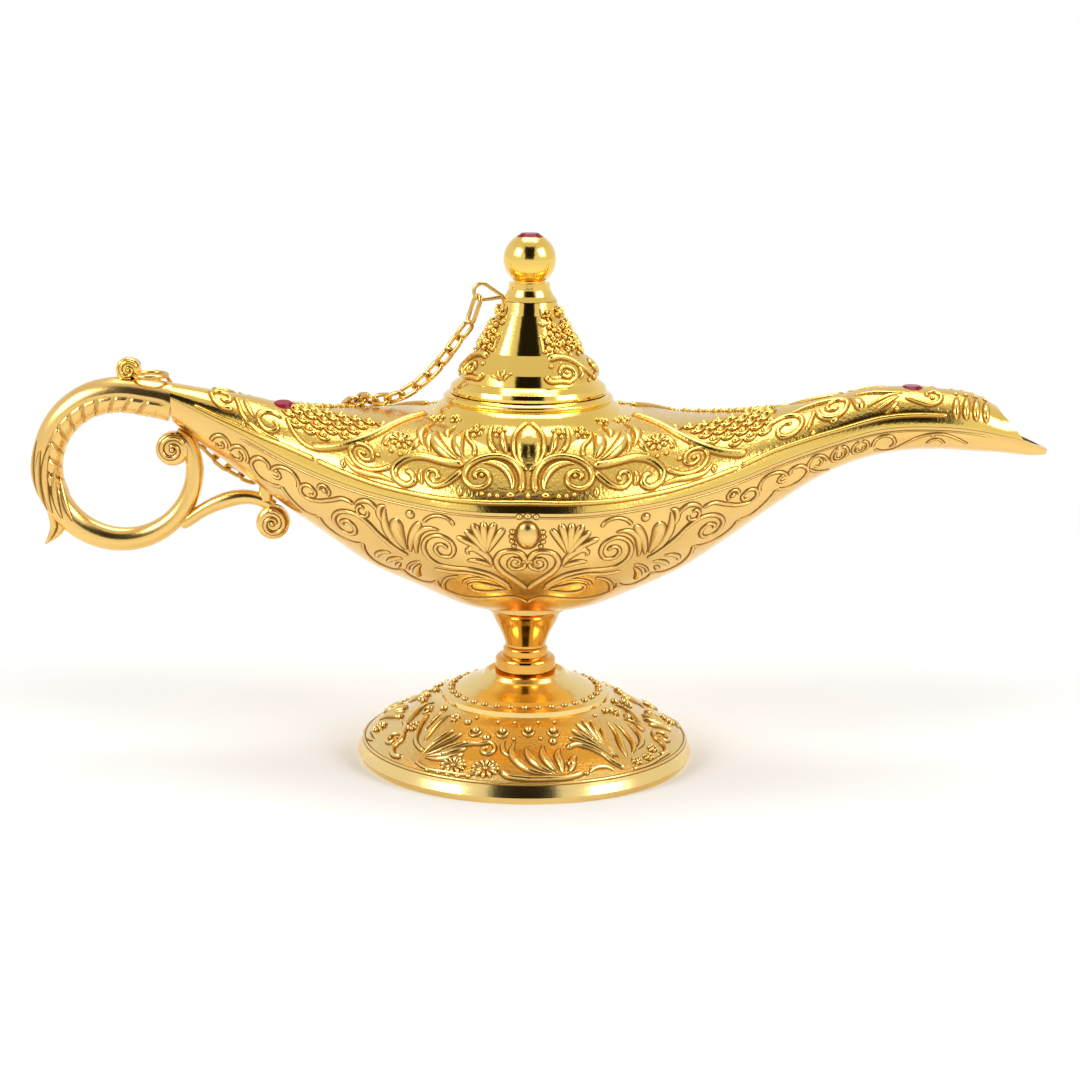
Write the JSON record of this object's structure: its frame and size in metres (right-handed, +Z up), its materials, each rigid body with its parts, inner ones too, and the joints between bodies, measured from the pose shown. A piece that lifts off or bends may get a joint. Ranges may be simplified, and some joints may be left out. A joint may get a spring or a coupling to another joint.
{
  "type": "genie oil lamp",
  "caption": "Oil lamp of the genie kind: boat-shaped body with long spout and scroll handle on a stemmed round foot, conical lid on a chain.",
  "frame": {"origin": "centre of the annular foot face that stands on the table, on the axis of foot, stem and lid", "axes": "+Z up the stem; +X towards the spout; +Y away from the viewer of the side view"},
  "size_m": [0.2213, 0.0744, 0.1162],
  "materials": {
    "gold_plate": "polished yellow gold plate over zinc casting",
    "gold_chain": "polished pale gold plate on drawn wire",
    "steel_fastener": "zinc-plated steel, turned",
    "red_stone": "clear deep red, foiled back"
  },
  "bodies": {
    "lamp": {"foot": "gold_plate", "stem_collar": "gold_plate", "stem": "gold_plate", "foot_screw": "steel_fastener", "foot_washer": "steel_fastener", "bowl": "gold_plate", "cover": "gold_plate", "seam_pins": "steel_fastener", "handle_loop": "gold_plate", "handle_bracket": "gold_plate", "chain_lug": "gold_plate", "handle_gem": "red_stone", "spout_gem": "red_stone", "chain_end_link": "gold_chain", "chain_upper": "gold_chain", "chain_back": "gold_chain", "chain_lower": "gold_chain"},
    "ring": {"chain_ring": "gold_chain"},
    "finial": {"finial_collar": "gold_plate", "finial_ball": "gold_plate", "finial_gem": "red_stone", "finial_screw": "steel_fastener", "finial_washer": "steel_fastener", "chain_eye": "gold_chain"},
    "lid": {"lid_cone": "gold_plate", "lid_skirt": "gold_plate"}
  },
  "joints": [
    {"name": "ring_swing", "type": "hinge", "parent": "lamp", "child": "ring", "pos_m": [-0.0857, 0, 0.0845], "axis": [0, -1, 0], "range_deg": [0, 45], "deforming": ["chain_lower"]},
    {"name": "lid_lift", "type": "slide", "parent": "lamp", "child": "finial", "axis": [0, 0, 1], "range_m": [0, 0.02], "deforming": ["chain_end_link", "chain_upper", "chain_back"]},
    {"name": "lid_turn", "type": "hinge", "parent": "finial", "child": "lid", "pos_m": [0, 0, 0.082], "axis": [0, 0, 1], "continuous": true}
  ]
}
